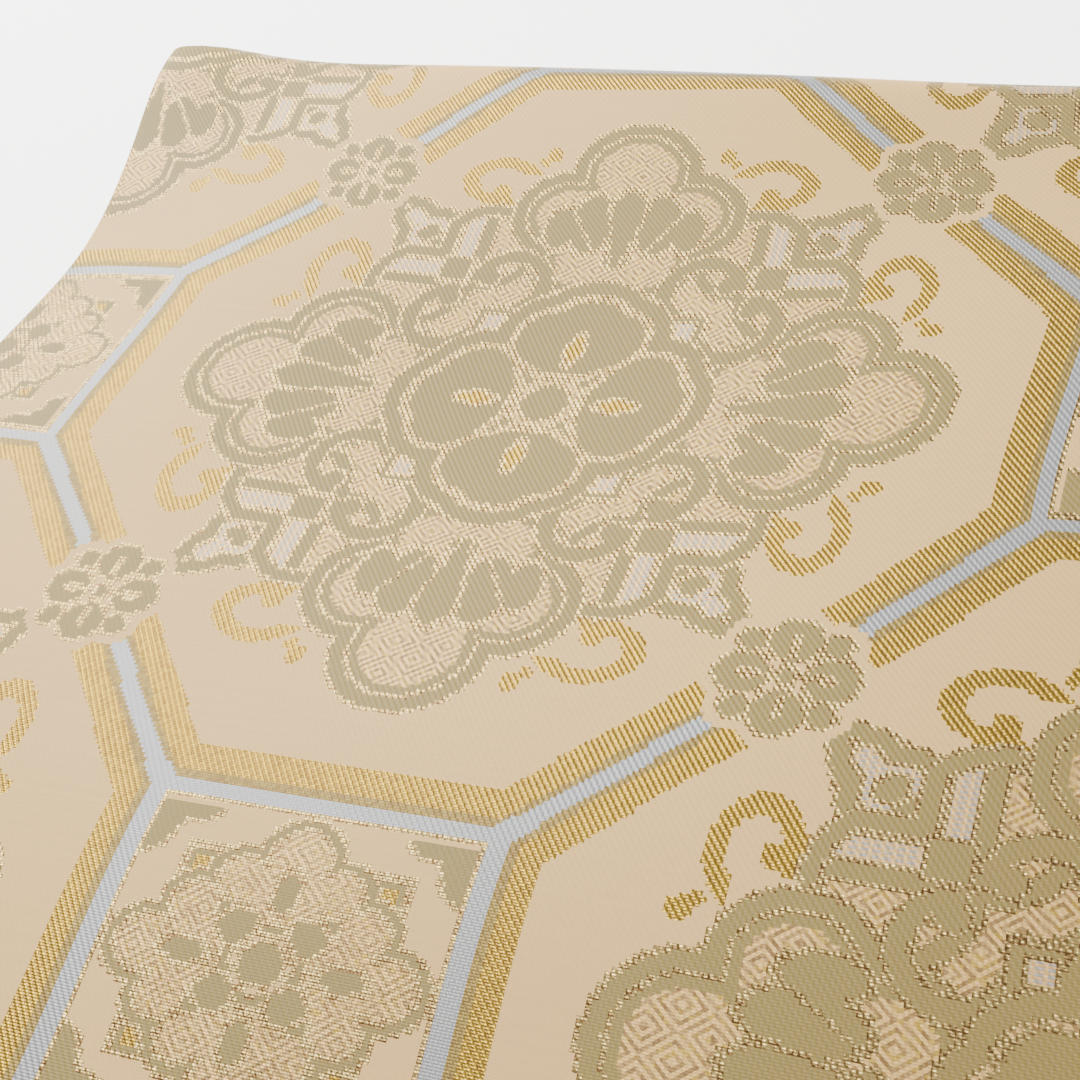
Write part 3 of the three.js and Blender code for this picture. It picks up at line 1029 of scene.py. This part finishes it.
# ---------------------------------------------------------------------------------------------------
# Operators
# ---------------------------------------------------------------------------------------------------

BACK_INSET = 0.9  # the back cloth stops short of the brocade at the long edges
BACK_FACE = CLOTH + SEAM_GAP


def ready(piece, slot, *nodes):
    """Puts a piece on the sash's one body and hides the frame's nodes that it stands for. The slot, its
    finish, is not used.
    """
    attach(piece, "root")
    if nodes:
        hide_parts(*nodes)


class OBI_OT_front_cloth(bpy.types.Operator):
    """Make the brocade: the outer stretch and the two that turn inside the pile"""

    bl_idname = "obi.front_cloth"
    bl_label = "Brocade"

    def execute(self, context):
        material = brocade(context.scene.obi_colours, context.scene.obi_sizes)
        outer = cloth_shell("brocade_outer_stretch", OUTER_STRETCH, 0.0, material, count=92)
        ready(outer, "brocade", "outer_stretch_front")
        inner = cloth_shell("brocade_inner_stretch", INNER_STRETCH, 0.0, material, count=34)
        ready(inner, "brocade", "inner_end_front", "hidden_plies", "inner_near_fold")
        end = cloth_shell("brocade_outer_end", END_STRETCH, 0.0, material, count=34)
        ready(end, "brocade", "outer_end_front")
        return {"FINISHED"}


class OBI_OT_back_cloth(bpy.types.Operator):
    """Make the plain back cloth that lies behind the brocade all the way along"""

    bl_idname = "obi.back_cloth"
    bl_label = "Plain back"

    def execute(self, context):
        material = plain_back(context.scene.obi_colours)
        place = {"near_face": BACK_FACE, "material": material, "inset": BACK_INSET}
        outer = cloth_shell("back_outer_stretch", OUTER_STRETCH, **place, count=44, thinning=2)
        ready(outer, "plain_back", "outer_stretch_back")
        inner = cloth_shell("back_inner_stretch", INNER_STRETCH, **place, count=34)
        ready(inner, "plain_back", "inner_end_back")
        end = cloth_shell("back_outer_end", END_STRETCH, **place, count=34)
        ready(end, "plain_back", "outer_end_back")
        return {"FINISHED"}


class OBI_OT_stage(bpy.types.Operator):
    """Make the floor, the soft lights and the camera"""

    bl_idname = "obi.stage"
    bl_label = "Floor, lights and camera"

    def execute(self, context):
        stage = context.scene.obi_stage
        make_floor(stage)
        make_lights(stage)
        make_camera()
        return {"FINISHED"}


FLOOR_GAP = 0.0003


def make_floor(stage):
    """A white floor that glows, so that it reads as blank paper behind the cloth."""
    data = bpy.data.meshes.new("floor")
    work = bmesh.new()
    bmesh.ops.create_grid(work, x_segments=1, y_segments=1, size=3.0)
    work.to_mesh(data)
    work.free()
    floor = bpy.data.objects.new("floor", data)
    floor.location.z = CAD_LOW.z - FLOOR_GAP
    bpy.context.scene.collection.objects.link(floor)
    material = bpy.data.materials.new("floor")
    material.use_nodes = True
    tree = material.node_tree
    shader = tree.nodes["Principled BSDF"]
    place = tree.nodes.new("ShaderNodeTexCoord")
    noise = tree.nodes.new("ShaderNodeTexNoise")
    noise.inputs["Scale"].default_value = 3.0
    tree.links.new(place.outputs["Object"], noise.inputs["Vector"])
    shade = mixed(tree, Field(tree, noise.outputs["Fac"]) * 0.05, (*stage.floor, 1.0), (0.6, 0.6, 0.6, 1.0))
    tree.links.new(shade, shader.inputs["Base Color"])
    shader.inputs["Roughness"].default_value = 0.75
    shader.inputs["Emission Color"].default_value = (1.0, 1.0, 1.0, 1.0)
    shader.inputs["Emission Strength"].default_value = 3.0
    data.materials.append(material)


def area_light(name, place, target, size, power, colour):
    """A soft round light, turned towards its target."""
    data = bpy.data.lights.new(name, "AREA")
    data.shape = "DISK"
    data.size = size
    data.energy = power
    data.color = colour
    light = bpy.data.objects.new(name, data)
    light.location = place
    light.rotation_mode = "QUATERNION"
    light.rotation_quaternion = (Vector(target) - Vector(place)).to_track_quat("-Z", "Y")
    bpy.context.scene.collection.objects.link(light)


# The middle of the medallion that the camera looks at, at the height of the pile's top.
MEDALLION = Vector((-0.0767, 0.2023, 0.0212))


def make_lights(stage):
    """An even pale surround, a warm key from the far left and a cooler fill from the right."""
    world = bpy.data.worlds.new("studio")
    world.use_nodes = True
    background = world.node_tree.nodes["Background"]
    background.inputs["Color"].default_value = (0.92, 0.92, 0.92, 1.0)
    background.inputs["Strength"].default_value = 0.45
    bpy.context.scene.world = world
    area_light("key", MEDALLION + Vector((-0.32, 0.28, 0.34)), MEDALLION, 0.4, stage.key, (1.0, 0.97, 0.92))
    area_light("fill", MEDALLION + Vector((0.8, -0.3, 0.9)), MEDALLION, 1.0, stage.fill, (0.95, 0.97, 1.0))


CAMERA_FROM = 0.99 * Vector((0.0710, -0.1291, 0.1210))  # from the medallion
CAMERA_TOWARDS = 0.99 * Vector((0.0091, -0.0250, 0.0))
CAMERA_ROLL = math.radians(-17.08)
CAMERA_LENS = 54.4  # millimetres, on a sensor 36 wide


def make_camera():
    """Looks down along the cloth at one medallion, with the view rolled a little to one side."""
    place = MEDALLION + CAMERA_FROM
    target = MEDALLION + CAMERA_TOWARDS
    roll = CAMERA_ROLL
    forward = (target - place).normalized()
    right = forward.cross(Vector((0, 0, 1))).normalized()
    up = right.cross(forward)
    tilted_right = math.cos(roll) * right + math.sin(roll) * up
    tilted_up = -math.sin(roll) * right + math.cos(roll) * up
    turned = Matrix((tilted_right, tilted_up, -forward)).transposed()
    data = bpy.data.cameras.new("camera")
    data.sensor_width = 36
    data.lens = CAMERA_LENS
    data.clip_start = 0.01
    camera = bpy.data.objects.new("camera", data)
    camera.matrix_world = Matrix.Translation(place) @ turned.to_4x4()
    bpy.context.scene.collection.objects.link(camera)
    bpy.context.scene.camera = camera


class OBI_PT_panel(bpy.types.Panel):
    """The sash's pieces and their settings"""

    bl_label = "Obi sash"
    bl_space_type = "VIEW_3D"
    bl_region_type = "UI"
    bl_category = "Obi"

    def draw(self, context):
        layout = self.layout
        for group in (context.scene.obi_sizes, context.scene.obi_colours, context.scene.obi_stage):
            box = layout.box()
            for key in group.__annotations__:
                box.prop(group, key)
        for operator in OPERATORS:
            layout.operator(operator.bl_idname)


OPERATORS = (OBI_OT_front_cloth, OBI_OT_back_cloth, OBI_OT_stage)
SETTINGS = {"obi_sizes": ObiSizes, "obi_colours": ObiColours, "obi_stage": ObiStage}
CLASSES = (*SETTINGS.values(), *OPERATORS, OBI_PT_panel)


def register():
    for item in CLASSES:
        bpy.utils.register_class(item)
    for name, settings in SETTINGS.items():
        setattr(bpy.types.Scene, name, bpy.props.PointerProperty(type=settings))


def unregister():
    for name in SETTINGS:
        delattr(bpy.types.Scene, name)
    for item in reversed(CLASSES):
        bpy.utils.unregister_class(item)


def main():
    register()
    bpy.ops.obi.stage()
    bpy.ops.obi.front_cloth()
    bpy.ops.obi.back_cloth()


if __name__ == "__main__":
    main()
